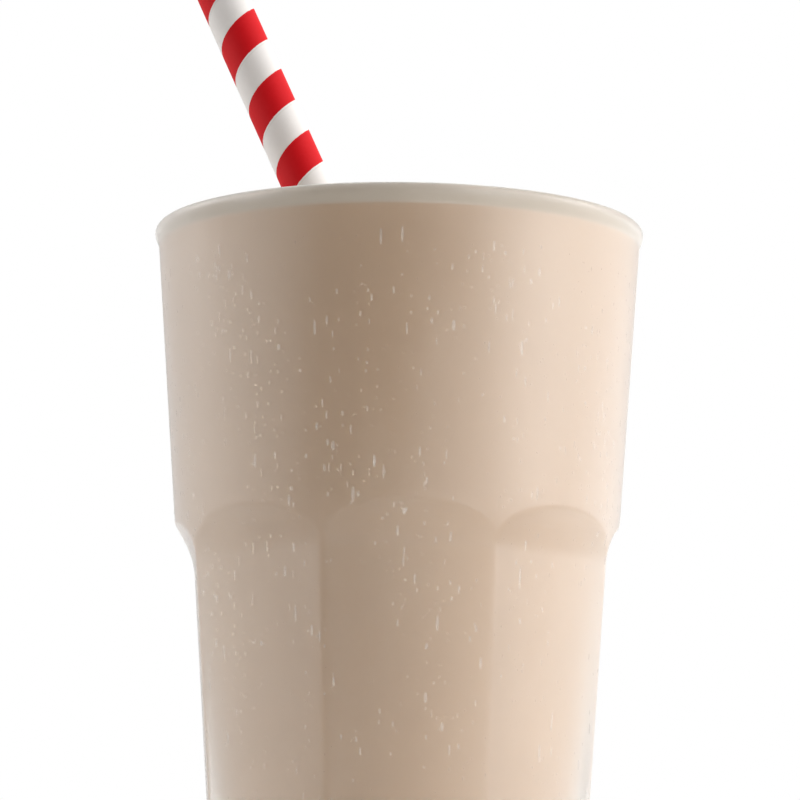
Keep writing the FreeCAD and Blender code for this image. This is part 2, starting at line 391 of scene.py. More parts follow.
class Feather(Graph):
    """The node tree of a lamp whose face fades towards its edges."""

    def fade_edges(self, fade: tuple[float, float]) -> None:
        """Fade a lamp's face.

        Args:
            fade: Share of its half width and half height over which it fades.
        """
        face = self.node("ShaderNodeNewGeometry").outputs["Parametric"]
        strength = 1.0
        for share, place in zip(fade, self.parts(face)):
            from_middle = place.distance(0.5) * 2.0
            strength = (1.0 - from_middle.ramp(1.0 - share, 1.0)) * strength
        glow = self.node("ShaderNodeEmission", None, {"Color": WHITE, "Strength": strength})
        self.node("ShaderNodeOutputLight", None, {0: glow.outputs[0]})


class Surroundings(Graph):
    """The node tree of the world: a plain level for lighting, plain white where it is seen."""

    def fill(self, level: float) -> None:
        """Set the world up.

        Args:
            level: Brightness of the light that it gives.
        """
        seen = self.seen()
        light = self.node("ShaderNodeBackground", None, {"Color": WHITE, "Strength": level})
        plain = self.node("ShaderNodeBackground", None, {"Color": WHITE, "Strength": 1.0})
        self.node("ShaderNodeOutputWorld", None, {0: self.between(seen, light, plain).outputs[0]})


class Finish(Graph):
    """A material under construction and the nodes that its finish needs."""

    def __init__(self, name: str) -> None:
        """Start an empty material.

        Args:
            name: Name of the material.
        """
        self.material = bpy.data.materials.new(name)
        self.material.use_nodes = True
        super().__init__(self.material.node_tree)

    def blend(self, share: "Signal | float", first: object, second: object) -> bpy.types.NodeSocket:
        """Mix two colours, given as values or links, by a share of the second."""
        made = self.node("ShaderNodeMix", {"data_type": "RGBA"}, {0: share, 6: first, 7: second})
        return made.outputs[2]

    def place(self, scale: tuple[float, float, float] = (1.0, 1.0, 1.0)) -> bpy.types.NodeSocket:
        """Object coordinates, in metres, stretched along each axis.

        Args:
            scale: Scale along each axis.

        Returns:
            The coordinates.
        """
        source = self.node("ShaderNodeTexCoord")
        mapped = self.node("ShaderNodeMapping", None, {"Vector": source.outputs["Object"], "Scale": scale})
        return mapped.outputs[0]

    def noise(
        self, per_metre: float, detail: float, scale: tuple[float, float, float] = (1.0, 1.0, 1.0)
    ) -> Signal:
        """Soft noise from 0 to 1 on object coordinates, with a number of finer layers."""
        sockets = {"Vector": self.place(scale), "Scale": per_metre, "Detail": detail}
        return Signal(self, self.node("ShaderNodeTexNoise", None, sockets).outputs[0])

    def cells(self, per_metre: float) -> Signal:
        """Distance from the nearest of some scattered points, on object coordinates.

        Args:
            per_metre: How many points fit in a metre.

        Returns:
            The distance, in widths of a cell.
        """
        sockets = {"Vector": self.place(), "Scale": per_metre}
        made = self.node("ShaderNodeTexVoronoi", {"feature": "F1"}, sockets)
        return Signal(self, made.outputs["Distance"])

    def relief(self, height: Signal, depth: float) -> bpy.types.NodeSocket:
        """Normal of a relief whose height is worked out, depth metres from 0 to 1."""
        made = self.node("ShaderNodeBump", None, {"Height": height, "Distance": depth, "Strength": 1.0})
        return made.outputs[0]

    def up(self) -> Signal:
        """Height above the table, in metres."""
        return self.parts(self.place())[2]

    def principled(self, sockets: dict) -> bpy.types.Node:
        """Add the shader of a solid finish, with its inputs."""
        return self.node("ShaderNodeBsdfPrincipled", None, sockets)

    def clear(
        self, tint: Colour, ior: float, sockets: dict, veil: Signal | None = None
    ) -> bpy.types.Material:
        """Make a clear body that refracts what is behind it and lets lamp light through.

        Args:
            tint: Colour given to what shows through.
            ior: Refractive index.
            sockets: Further inputs of its shader.
            veil: Share of the surface that scatters light white, as fine mist does, if any.

        Returns:
            The finished material.
        """
        plain = {"Base Color": tint, "IOR": ior, "Transmission Weight": 1.0}
        body = self.principled({**plain, **sockets})
        if veil is not None:
            pale = {"Base Color": srgb(250, 250, 248), "Roughness": 1.0, "Specular IOR Level": 0.0}
            body = self.between(veil, body, self.principled(pale))
        open_way = self.node("ShaderNodeBsdfTransparent", None, {"Color": tint})
        path = self.node("ShaderNodeLightPath")
        lit = self.either(path.outputs["Is Shadow Ray"], path.outputs["Is Diffuse Ray"])
        return self.show(self.between(lit, body, open_way))

    def show(self, shader: bpy.types.Node) -> bpy.types.Material:
        """Send a shader to the surface output and give the finished material."""
        self.node("ShaderNodeOutputMaterial", None, {"Surface": shader.outputs[0]})
        return self.material


# --------------------------------------------------------------------------------------------
# Finishes
# --------------------------------------------------------------------------------------------


@dataclass(frozen=True)
class ClearGlass:
    """Thick soda-lime glass with the faint waviness of a pressed wall.

    Attributes:
        tint: Colour that the glass gives to what shows through it.
        ior: Refractive index.
        wave_depth: Height of the waviness, in metres.
        haze: Weight of the pale haze at glancing angles.
        mist: Further roughness where the finest condensation is thickest.
        veil: Share of the light that the mist scatters where it is thickest.
        soft: Roughness that the thin mist gives the whole cold wall.
        worn: Further roughness of the rim, which the drink has wetted.
        polish: Roughness of the bare glass of the foot.
        foot: Heights between which the bare foot turns into the cold wall.
        rim: Heights between which the wetted rim begins.
    """

    tint: Colour = (0.94, 0.945, 0.94, 1.0)
    ior: float = 1.52
    wave_depth: float = 0.02 * MM
    haze: float = 0.5
    mist: float = 0.06
    veil: float = 0.03
    soft: float = 0.26
    worn: float = 0.1
    polish: float = 0.02
    foot: tuple[float, float] = (8.0 * MM, 20.0 * MM)
    rim: tuple[float, float] = (127.9 * MM, 128.9 * MM)

    def material(self) -> bpy.types.Material:
        """Build the glass, which lets lamp light through to the drink without caustics.

        Returns:
            The finished material.
        """
        finish = Finish("clear_glass")
        height = finish.up()
        waves = finish.noise(per_metre=90.0, detail=1.0, scale=(1.0, 1.0, 0.4))
        patches = finish.noise(per_metre=60.0, detail=3.0, scale=(1.0, 1.0, 0.35))
        cold = height.ramp(*self.foot)
        mist = patches.ramp(0.35, 0.7) * cold
        rim = height.ramp(*self.rim)
        return finish.clear(self.tint, self.ior, {
            "Roughness": mist * self.mist + cold * self.soft + rim * self.worn + self.polish,
            "Sheen Weight": self.haze,
            "Sheen Roughness": 0.45,
            "Normal": finish.relief(waves, self.wave_depth),
        }, mist * self.veil)


@dataclass(frozen=True)
class ShakeFinish:
    """Opaque chocolate milk with fine froth in it.

    Attributes:
        name: Name of the material.
        colour: Main colour.
        pale: Colour of the froth's lighter specks.
        gloss: Specular level of the skin.
        roughness: Roughness of the skin.
        bubble_depth: Height of the froth's relief, in metres.
        ior: Refractive index that the skin's gloss is worked out from.
        depth: Share of the light that goes into its depth before it comes out.
        haze: Weight of the pale haze that its fine froth gives at glancing angles.
        film: Colour that it thins out to above a height.
        thins_at: Height at which it has half thinned out, in metres.
    """

    name: str
    colour: Colour
    pale: Colour
    gloss: float
    roughness: float
    bubble_depth: float
    ior: float = 1.5
    depth: float = 0.35
    haze: float = 0.0
    film: Colour | None = None
    thins_at: float = 0.0

    def material(self) -> bpy.types.Material:
        """Build the drink: soft clouds of froth, fine bubbles and some light in its depth.

        Returns:
            The finished material.
        """
        finish = Finish(self.name)
        clouds = finish.noise(per_metre=45.0, detail=3.0)
        bubbles = 1.0 - finish.cells(per_metre=1400.0).ramp(0.05, 0.55)
        share = clouds.ramp(0.35, 0.75) * 0.55 + bubbles * 0.25
        colour = finish.blend(share, self.colour, self.pale)
        if self.film is not None:
            half = 0.8 * MM
            thinned = finish.up().ramp(self.thins_at - half, self.thins_at + half)
            colour = finish.blend(thinned, colour, self.film)
        sockets = {
            "Base Color": colour,
            "Roughness": self.roughness,
            "Specular IOR Level": self.gloss,
            "IOR": self.ior,
            "Sheen Weight": self.haze,
            "Sheen Roughness": 0.6,
            "Subsurface Weight": self.depth,
            "Subsurface Radius": (1.0, 0.7, 0.5),
            "Subsurface Scale": 1.5 * MM,
        }
        if self.bubble_depth > 0.0:
            larger = 1.0 - finish.cells(per_metre=520.0).ramp(0.0, 0.6)
            froth = bubbles * 0.5 + larger * 0.5
            sockets["Normal"] = finish.relief(froth, self.bubble_depth)
        return finish.show(finish.principled(sockets))


@dataclass(frozen=True)
class StripedPaper:
    """Rolled white paper with one printed stripe that winds along the straw.

    Attributes:
        paper: Colour of the bare paper.
        print_colour: Colour of the stripe.
        pitch: Length of straw in which the stripe goes round once.
        share: Share of the pitch that is printed.
        start: Where along the pitch the stripe starts, as a share of it.
        soaked: Length of straw, from its foot, up to which the drink has wetted it.
    """

    paper: Colour
    print_colour: Colour
    pitch: float
    share: float
    start: float
    soaked: float

    def material(self) -> bpy.types.Material:
        """Build the paper: stripe, its slightly soft edge, the ply's seam and fibres.

        Returns:
            The finished material.
        """
        finish = Finish("striped_paper")
        source = finish.node("ShaderNodeUVMap", {"uv_map": "Wrap"})
        around, along, _ = finish.parts(source.outputs[0])
        winding = (around - along * (1.0 / self.pitch) + self.start) % 1.0
        fibres = finish.noise(per_metre=1800.0, detail=2.0)
        edge, waver, seam_gap, seam_width = 0.006, 0.012, 0.03, 0.012
        ragged = winding + (fibres - 0.5) * waver
        printed = ragged.ramp(0.0, edge) * (1.0 - ragged.ramp(self.share - edge, self.share))
        seam = 1.0 - winding.distance(self.share + seam_gap).ramp(0.0, seam_width)
        wet = 1.0 - along.ramp(self.soaked - 1.0 * MM, self.soaked + 2.5 * MM)
        bare = finish.blend(fibres * 0.12 + seam * 0.25, self.paper, srgb(205, 196, 188))
        coloured = finish.blend(fibres.ramp(0.3, 0.9) * 0.15, self.print_colour, srgb(214, 30, 42))
        dry = finish.blend(printed, bare, coloured)
        damp = finish.blend(wet * 0.35, dry, srgb(120, 70, 60))
        height = fibres * 0.3 - seam
        return finish.show(finish.principled({
            "Base Color": damp,
            "Roughness": 0.7 - wet * 0.35,
            "Specular IOR Level": 0.2,
            "Normal": finish.relief(height, 0.03 * MM),
        }))


@dataclass(frozen=True)
class Water:
    """Water of the condensation, in drops so small that they scatter more than they refract.

    Attributes:
        ior: Refractive index.
        roughness: Blur of its highlights.
        clear: Share of the light that a drop refracts; the rest it scatters white.
        body: How strongly so thin a drop shows on the wet glass.
    """

    ior: float = 1.33
    roughness: float = 0.2
    clear: float = 0.3
    body: float = 0.15

    def material(self) -> bpy.types.Material:
        """Build the water, which lets lamp light through."""
        sockets = {"Roughness": self.roughness, "Transmission Weight": self.clear, "Alpha": self.body}
        return Finish("water_drops").clear(srgb(252, 252, 252), self.ior, sockets)


# --------------------------------------------------------------------------------------------
# The tumbler
# --------------------------------------------------------------------------------------------


@dataclass
class Tumbler:
    """The pressed glass: a cone with a rounded rim, cut by flats that end in arched coves.

    Attributes:
        height: Table to rim.
        rim_radius: Outside of the lip.
        base_radius: Outer cone at the table.
        rim_wall: Thickness of the fully rounded rim.
        lip_flare: How far the lip stands out of the cone.
        lip_height: Rim down to where the lip dies into the cone.
        floor_radius: Inner cone at the cavity's floor.
        floor_height: Table to the cavity's floor.
        corner_radius: Round between inner wall and floor.
        foot_radius: Inner edge of the ring that it stands on.
        punt: Hollow of the underside at its middle.
        heel: Round between the outer cone and the foot.
        panels: Number of flats.
        panel_height: Table to the top of each flat.
        panel_turn: Angle that the flats are turned about Z.
        ridge_inset: How far the ridges stay inside the outer cone.
        cove_radius: Hollow that ends each flat.
        softness: Rounding of the ridges and of the arches' edges.
        shoulder: How far under the arches the rows stop being level.
        edge: Height on each side of the arches' edge in which the rows crowd.
        columns_per_panel: Columns of the mesh across one flat.
    """

    height: float
    rim_radius: float
    base_radius: float = 29.2 * MM
    rim_wall: float = 2.6 * MM
    lip_flare: float = 0.4 * MM
    lip_height: float = 3.4 * MM
    floor_radius: float = 18.5 * MM
    floor_height: float = 12.0 * MM
    corner_radius: float = 8.0 * MM
    foot_radius: float = 18.0 * MM
    punt: float = 1.6 * MM
    heel: float = 3.0 * MM
    panels: int = 8
    panel_height: float = 76.2 * MM
    panel_turn: float = math.radians(3.1)
    ridge_inset: float = 0.15 * MM
    cove_radius: float = 10.5 * MM
    softness: float = 0.2 * MM
    shoulder: float = 2.0 * MM
    edge: float = 0.9 * MM
    columns_per_panel: int = 52

    @property
    def half_panel(self) -> float:
        """Half the angle that one flat takes."""
        return math.pi / self.panels

    def cone(self, height: np.ndarray | float) -> np.ndarray | float:
        """Radius of the outer cone: a straight line from the base to the foot of the lip."""
        top = self.rim_radius - self.lip_flare
        return self.base_radius + (top - self.base_radius) * height / self.height

    def chord(self, height: np.ndarray | float) -> np.ndarray | float:
        """Distance of a flat from the centre line: the cone's chord, less the ridges' inset."""
        return self.cone(height) * math.cos(self.half_panel) - self.ridge_inset

    def flat_distance(self, height: np.ndarray) -> np.ndarray:
        """Distance of a flat and the cove above it from the centre line.

        The flat follows the cone's chord. Above its top the distance grows as a circle of the
        cove's radius that starts in line with the flat: centre less the root of R2 - h2.

        Args:
            height: Heights above the table.

        Returns:
            Distance of each height.
        """
        lean = (self.chord(self.panel_height) - self.chord(0.0)) / self.panel_height
        length = math.hypot(1.0, lean)
        centre_out = self.chord(self.panel_height) + self.cove_radius / length
        centre_up = self.panel_height - self.cove_radius * lean / length
        rise = np.clip((height - centre_up) / self.cove_radius, 0.0, 0.999)
        cove = centre_out - self.cove_radius * np.sqrt(1.0 - rise**2)
        return np.where(height > self.panel_height, cove, self.chord(height))

    def arch(self, off_centre: np.ndarray) -> np.ndarray:
        """Height of the arch's edge at an angle from its panel's middle.

        It lies where the cove's distance divided by the angle's cosine equals the cone's
        radius, found by halving the range for all angles at once.

        Args:
            off_centre: Angles from the middle of a flat.

        Returns:
            Height of each angle.
        """
        halvings = 40
        low = np.full_like(off_centre, self.panel_height)
        high = low + self.cove_radius
        for _ in range(halvings):
            middle = (low + high) / 2.0
            inside = self.flat_distance(middle) / np.cos(off_centre) < self.cone(middle)
            low, high = np.where(inside, middle, low), np.where(inside, high, middle)
        return low

    def outer(self, angles: np.ndarray, height: np.ndarray) -> np.ndarray:
        """Radius of the outside: the soft least of the cone and of every flat near an angle.

        The soft least of values v is -s log(sum of exp(-v / s)) with s the softness, which
        rounds the edges where two of them meet.

        Args:
            angles: Angle of each column from X.
            height: Height of each row and column.

        Returns:
            Radius of each row and column.
        """
        least_near = math.cos(1.6 * self.half_panel)
        out_of_play = 1.0
        distance = self.flat_distance(height)
        candidates = [self.cone(height)]
        for panel in range(self.panels):
            middle = self.panel_turn + panel * TURN / self.panels
            cosine = np.cos(angles - middle)
            reached = distance / np.maximum(cosine, 0.1)
            candidates.append(np.where(cosine > least_near, reached, out_of_play))
        stack = np.stack(candidates)
        least = stack.min(axis=0)
        return least - self.softness * np.log(np.exp((least - stack) / self.softness).sum(axis=0))

    def outside_at(self, angle: np.ndarray, height: np.ndarray) -> np.ndarray:
        """Points of the outside at some angles and heights, n by 3."""
        return round_z(self.outer(angle, height), angle, height)

    def cavity(self, height: np.ndarray) -> np.ndarray:
        """Radius of the inner cone, a straight line from the floor to the rim.

        Args:
            height: Heights above the table.

        Returns:
            Radius of each height.
        """
        top_height = self.height - self.rim_wall / 2.0
        top_radius = self.rim_radius - self.rim_wall
        share = (height - self.floor_height) / (top_height - self.floor_height)
        return self.floor_radius + (top_radius - self.floor_radius) * share

    def cavity_profile(self, spread: float, top: float) -> tuple[np.ndarray, np.ndarray]:
        """Profile of the cavity, from near the middle of its floor up to a height.

        The corner is an arc that touches the floor and the cone: its centre is the corner's
        radius from both, and it turns from straight down to square to the cone.

        Args:
            spread: How far outside the glass's inner face the profile lies.
            top: Height at which it ends.

        Returns:
            Radii and heights of its rows.
        """
        floor_rows, corner_rows, wall_rows = 6, 14, 30
        rise = self.height - self.rim_wall / 2.0 - self.floor_height
        taper = math.atan2(self.rim_radius - self.rim_wall - self.floor_radius, rise)
        corner_up = self.floor_height + self.corner_radius
        corner_out = float(self.cavity(np.array(corner_up))) - self.corner_radius / math.cos(taper)
        turn = np.linspace(-math.pi / 2.0, -taper, corner_rows)
        reach = self.corner_radius + spread
        arc_radii = corner_out + reach * np.cos(turn)
        arc_heights = corner_up + reach * np.sin(turn)
        floor_radii = np.linspace(0.15, 1.0, floor_rows)[:-1] * arc_radii[0]
        floor_heights = np.full_like(floor_radii, arc_heights[0])
        wall_heights = np.linspace(arc_heights[-1], top, wall_rows)[1:]
        wall_radii = self.cavity(wall_heights) + spread / math.cos(taper)
        radii = np.concatenate([floor_radii, arc_radii, wall_radii])
        heights = np.concatenate([floor_heights, arc_heights, wall_heights])
        return radii, heights

    def off_centre(self) -> np.ndarray:
        """Angle of each column from the middle of its flat, crowded at the ridges between flats."""
        one_flat = ease(self.columns_per_panel + 1, -1.0, 1.0)[:-1] * self.half_panel
        return np.tile(one_flat, self.panels)

    def angles(self) -> np.ndarray:
        """Angle of each column from X."""
        middles = self.panel_turn + np.arange(self.panels) * TURN / self.panels
        return np.repeat(middles, self.columns_per_panel) + self.off_centre()

    def foot_rows(self, angles: np.ndarray) -> list[tuple[np.ndarray, np.ndarray]]:
        """Rows of the hollow underside, and of the heel round to the side.

        The underside rises as punt * (1 - (r / R)2). The heel is a quarter circle that goes no
        further out than the flats.

        Args:
            angles: Angle of each column from X.

        Returns:
            Radii and heights of each group of rows.
        """
        hollow = np.array([0.12, 0.4, 0.65, 0.85, 0.97, 1.0])[:, None]
        turn = np.linspace(0.0, math.pi / 2.0, 9)[:-1, None]
        level = np.broadcast_to(self.heel * (1.0 - np.cos(turn)), (len(turn), len(angles)))
        limit = self.base_radius - self.heel * (1.0 - np.sin(turn))
        return [
            (hollow * self.foot_radius, self.punt * (1.0 - hollow**2)),
            (np.minimum(self.outer(angles, level), limit), level),
        ]

    def side_rows(self, angles: np.ndarray) -> tuple[np.ndarray, np.ndarray]:
        """Rows up the flats, along the edges of their arches and up the cone to the lip.

        Each group goes from one height to the next in shares. Next to an arch the shares are
        raised to a power, so that the rows crowd at its edge.

        Args:
            angles: Angle of each column from X.

        Returns:
            Radii and heights of the rows.
        """
        arch = self.arch(np.abs(self.off_centre()))
        shoulder = self.panel_height - self.shoulder
        lip_foot = self.height - self.lip_height
        share = np.linspace(0.0, 1.0, 26)[:, None]
        few = np.linspace(0.0, 1.0, 16)[1:, None]
        step = np.linspace(-1.0, 1.0, 17)[1:, None]
        level = np.concatenate([
            np.broadcast_to(self.heel + (shoulder - self.heel) * share, (len(share), len(angles))),
            shoulder + (arch - self.edge - shoulder) * share[1:],
            arch + self.edge * np.sign(step) * np.abs(step) ** 1.4,
            arch + self.edge + (lip_foot - arch - self.edge) * few,
        ])
        return self.outer(angles, level), level

    def rim_rows(self) -> tuple[np.ndarray, np.ndarray]:
        """Rows up the lip, which flares smoothly, and half a circle over the rim.

        Returns:
            Radii and heights of the rows.
        """
        bend = self.rim_wall / 2.0
        lip_foot, rim_level = self.height - self.lip_height, self.height - bend
        start = self.cone(lip_foot)
        share = np.linspace(0.0, 1.0, 7)[1:]
        turn = np.linspace(0.0, math.pi, 15)[1:]
        lip = start + (self.rim_radius - start) * smooth_step(share, 0.0, 1.0)
        radii = np.concatenate([lip, self.rim_radius - bend + bend * np.cos(turn)])
        heights = np.concatenate([
            lip_foot + (rim_level - lip_foot) * share,
            rim_level + bend * np.sin(turn),
        ])
        return radii[:, None], heights[:, None]

    def shell(self) -> Grid:
        """The whole glass as one closed shell, from under the foot, up, over the rim and down.

        Returns:
            The surface.
        """
        angles = self.angles()
        inside = self.cavity_profile(0.0, self.height - self.rim_wall / 2.0)
        down = tuple(part[::-1][1:, None] for part in inside)
        groups = [*self.foot_rows(angles), self.side_rows(angles), self.rim_rows(), down]
        radii, heights = (
            np.concatenate([np.broadcast_to(rows, (len(rows), len(angles))) for rows in side])
            for side in zip(*groups)
        )
        return Grid(turned(radii, heights, angles), Pole.POINT, Pole.POINT)

    def build(self, finish: ClearGlass) -> bpy.types.Object:
        """Make the glass, stand it in for its CAD node and dress it.

        Args:
            finish: Finish of the glass.

        Returns:
            The piece.
        """
        piece = make_piece("pressed_tumbler", self.shell())
        piece.data.materials.append(finish.material())
        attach(piece, "root")
        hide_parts("glass_tumbler")
        return piece


# --------------------------------------------------------------------------------------------
# The straw
# --------------------------------------------------------------------------------------------


@dataclass
class PaperStraw:
    """The rolled paper straw, a tube between two flat ends.

    Attributes:
        middle: Middle of the straw's centre line.
        radius: Outside radius.
        wall: Thickness of the paper.
        length: End to end.
        tilt: Angle from Z.
        bearing: Angle from X to the way it leans.
        bevel: Rounding of the cut edges.
        rows: Rows along the tube.
        columns: Columns round the tube.
    """

    middle: Vector
    radius: float = 4.15 * MM
    wall: float = 0.45 * MM
    length: float = 197.0 * MM
    tilt: float = math.radians(27.4)
    bearing: float = math.radians(146.5)
    bevel: float = 0.08 * MM
    rows: int = 60
    columns: int = 96

    @property
    def axis(self) -> Vector:
        """Direction from the foot to the top of the straw."""
        away = math.sin(self.tilt)
        return Vector((away * math.cos(self.bearing), away * math.sin(self.bearing), math.cos(self.tilt)))

    @property
    def foot(self) -> Vector:
        """Middle of the lower end."""
        return self.middle - self.axis * (self.length / 2.0)

    def at_height(self, height: float) -> Vector:
        """Point of the centre line at a height above the table."""
        return self.foot + self.axis * ((height - self.foot.z) / self.axis.z)

    def tube(self) -> Grid:
        """The tube's closed wall: up its outside, over the cut end, down its bore and back.

        A point is foot + axis * length along + radius * (side * cos a + front * sin a), with
        the cut edges rounded by a small bevel.

        Returns:
            The surface, with the length along it for its UV map.
        """
        bevel = self.bevel
        inner = self.radius - self.wall
        between = np.linspace(0.0, self.length, self.rows)[1:-1]
        outside = np.concatenate([[bevel], between, [self.length - bevel]])
        radii = np.concatenate([
            [self.radius - bevel], np.full(len(outside), self.radius), [self.radius - bevel],
            [inner + bevel], np.full(len(outside), inner), [inner + bevel],
        ])
        along = np.concatenate([[0.0], outside, [self.length], [self.length], outside[::-1], [0.0]])
        axis = np.array(self.axis)
        side = np.cross(np.array([0.0, 0.0, 1.0]), axis)
        side /= np.linalg.norm(side)
        front = np.cross(axis, side)
        angles = np.arange(self.columns) * TURN / self.columns
        ring = np.cos(angles)[:, None] * side + np.sin(angles)[:, None] * front
        centres = np.array(self.foot) + along[:, None, None] * axis
        return Grid(centres + radii[:, None, None] * ring, ring=True, along=along)

    def build(self, finish: StripedPaper) -> bpy.types.Object:
        """Make the straw, stand it in for its CAD node and dress it.

        Args:
            finish: Finish of the paper.

        Returns:
            The piece.
        """
        piece = make_piece("rolled_straw", self.tube())
        piece.data.materials.append(finish.material())
        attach(piece, "root")
        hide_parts("paper_straw")
        return piece


# --------------------------------------------------------------------------------------------
# The drink
# --------------------------------------------------------------------------------------------


@dataclass
class Shake:
    """The drink: it fills the cavity, reaches just into the wall and swells a little on top.

    Attributes:
        glass: The tumbler that holds it.
        straw: The straw that stands in it.
        level: Height of its edge above the table.
        rise: How far it swells at the middle.
        reach: How far it goes into the glass, so that no air gap shows.
        creep: How far it climbs the glass and the straw.
        columns: Columns round the drink.
    """

    glass: Tumbler
    straw: PaperStraw
    level: float
    rise: float = 1.0 * MM
    reach: float = 0.06 * MM
    creep: float = 0.5 * MM
    columns: int = 256

    def surface(self, across: np.ndarray, away: np.ndarray) -> np.ndarray:
        """Height of the top: a low dome, soft ripples, and a climb at the glass and the straw.

        Each climb is creep * exp(-gap / width). The ripples are a few sines across the top.

        Args:
            across: X of each point.
            away: Y of each point.

        Returns:
            Heights above the table.
        """
        wall = float(self.glass.cavity(np.array(self.level)))
        radius = np.hypot(across, away)
        dome = self.rise * (1.0 - np.clip(radius / wall, 0.0, 1.0) ** 2)
        wall_width, straw_width = 0.9 * MM, 0.8 * MM
        at_wall = self.creep * np.exp(-np.abs(wall - radius) / wall_width)
        centre = self.straw.at_height(self.level)
        # The leaning straw's cut is an oval; a circle a little wider than the straw stands in for it.
        cut_radius = self.straw.radius * 1.05
        gap = np.abs(np.hypot(across - centre.x, away - centre.y) - cut_radius)
        at_straw = 0.8 * self.creep * np.exp(-gap / straw_width)
        broad = np.sin(210.0 * across + 0.7) * np.sin(180.0 * away + 1.9)
        fine = 0.5 * np.sin(430.0 * (across + away))
        ripple = 0.1 * MM * (broad + fine) * smooth_step(wall - radius, 0.0, 4.0 * MM)
        return self.level + dome + at_wall + at_straw + ripple

    def film(self, angles: np.ndarray) -> np.ndarray:
        """The thin film that the drink leaves up the wall and over the inner half of the rim.

        Its outer face lies just inside the glass, goes up from the drink's level and round the
        rim to an angle that wavers a little. Its inner face comes back down and thickens
        towards the drink.

        Args:
            angles: Angle of each column from X.

        Returns:
            Rows by columns by 3.
        """
        glass = self.glass
        bend = glass.rim_wall / 2.0
        middle, rim_level = glass.rim_radius - bend, glass.height - bend
        edge = 0.55 + 0.10 * np.sin(7.0 * angles + 1.0) + 0.06 * np.sin(13.0 * angles + 2.0)
        shares = np.array([[0.25], [0.5], [0.75], [1.0], [1.0], [0.7], [0.4], [0.1]])
        depth = np.array([[1.0], [1.0], [1.0], [1.0], [-1.0], [-1.0], [-1.0], [-1.0]]) * self.reach
        turn = shares * edge
        reach = bend - depth
        over = turned(middle - reach * np.cos(turn), rim_level + reach * np.sin(turn), angles)
        rising = np.linspace(self.level, rim_level, 4)
        outside = turned(glass.cavity(rising) + self.reach, rising, angles)
        falling = np.linspace(rim_level, self.level + self.creep, 6)
        thick = np.linspace(self.reach, 5.0 * self.reach, 6)
        return np.concatenate([outside, over, turned(glass.cavity(falling) - thick, falling, angles)])

    def body(self) -> tuple[Grid, list[int]]:
        """Work out the drink as one closed shell.

        Returns:
            The shell, and how many rows its wall, its film and its top have.
        """
        angles = np.arange(self.columns) * TURN / self.columns
        wall = turned(*self.glass.cavity_profile(self.reach, self.level - 0.3 * MM), angles)
        film = self.film(angles)
        outermost = float(self.glass.cavity(np.array(self.level)))
        rings = np.concatenate([
            outermost - np.array([0.4, 0.6, 0.9, 1.3, 2.0, 3.0]) * MM,
            np.linspace(outermost - 4.2 * MM, 0.6 * MM, 44),
        ])
        top_x, top_y = rings[:, None] * np.cos(angles), rings[:, None] * np.sin(angles)
        top = np.stack([top_x, top_y, self.surface(top_x, top_y)], axis=-1)
        parts = [wall, film, top]
        return Grid(np.concatenate(parts), Pole.POINT, Pole.POINT), [len(part) for part in parts]

    def build(self, *finishes: ShakeFinish) -> bpy.types.Object:
        """Make the drink, stand it in for its CAD node and dress it.

        Args:
            finishes: Finishes of its side in the glass, its film and its open top.

        Returns:
            The piece.
        """
        grid, rows = self.body()
        piece = make_piece("thick_shake", grid)
        for finish in finishes:
            piece.data.materials.append(finish.material())
        bands = np.repeat([0, 1, 2], [rows[0] - 1, rows[1], rows[2]])
        slots = np.concatenate([np.repeat(bands, self.columns), np.repeat([0, 2], self.columns)])
        piece.data.polygons.foreach_set("material_index", slots.astype(np.int32))
        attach(piece, "root")
        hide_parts("milkshake")
        return piece


# --------------------------------------------------------------------------------------------
# Small domes: froth bubbles and condensation
# --------------------------------------------------------------------------------------------


def scatter_domes(
    centres: np.ndarray,
    outward: np.ndarray,
    upward: np.ndarray,
    widths: np.ndarray,
    lengths: np.ndarray,
    heights: np.ndarray,
    segments: int,
    rings: int,
) -> tuple[np.ndarray, np.ndarray, np.ndarray]:
    """Lay one closed dome at each place, all as whole arrays.

    A dome's ring at share t of a quarter turn has the width cos t and the height sin t, and a
    flat back closes it.

    Args:
        centres: Middle of each back, n by 3.
        outward: Direction in which each dome stands out.
        upward: Direction along its length.
        widths: Half widths.
        lengths: Half lengths.
        heights: How far each stands out.
        segments: Corners round a dome.
        rings: Rings between its back and its crown.

    Returns:
        Vertices, quads and triangles.
    """
    sideways = np.cross(upward, outward)
    lift = np.linspace(0.0, math.pi / 2.0, rings + 1)[:-1]
    angle = np.arange(segments) * TURN / segments
    across = np.cos(lift)[:, None] * np.cos(angle)
    along = np.cos(lift)[:, None] * np.sin(angle)
    proud = np.broadcast_to(np.sin(lift)[:, None], across.shape)
    dome = Grid(np.stack([across, along, proud], axis=-1), Pole.POINT, Pole.POINT)
    back, crown = [0.0, 0.0, 0.0], [0.0, 0.0, 1.0]
    local = np.vstack([dome.points.reshape(-1, 3), [back, crown]])
    size = np.stack([widths, lengths, heights], axis=-1)
    scaled = local[None, :, :] * size[:, None, :]
    basis = np.stack([sideways, upward, outward], axis=1)
    points = centres[:, None, :] + np.einsum("nvk,nkc->nvc", scaled, basis)
    offset = (np.arange(len(centres)) * len(local))[:, None, None]
    quads, fans = dome.faces()
    return points.reshape(-1, 3), (quads + offset).reshape(-1, 4), (fans + offset).reshape(-1, 3)


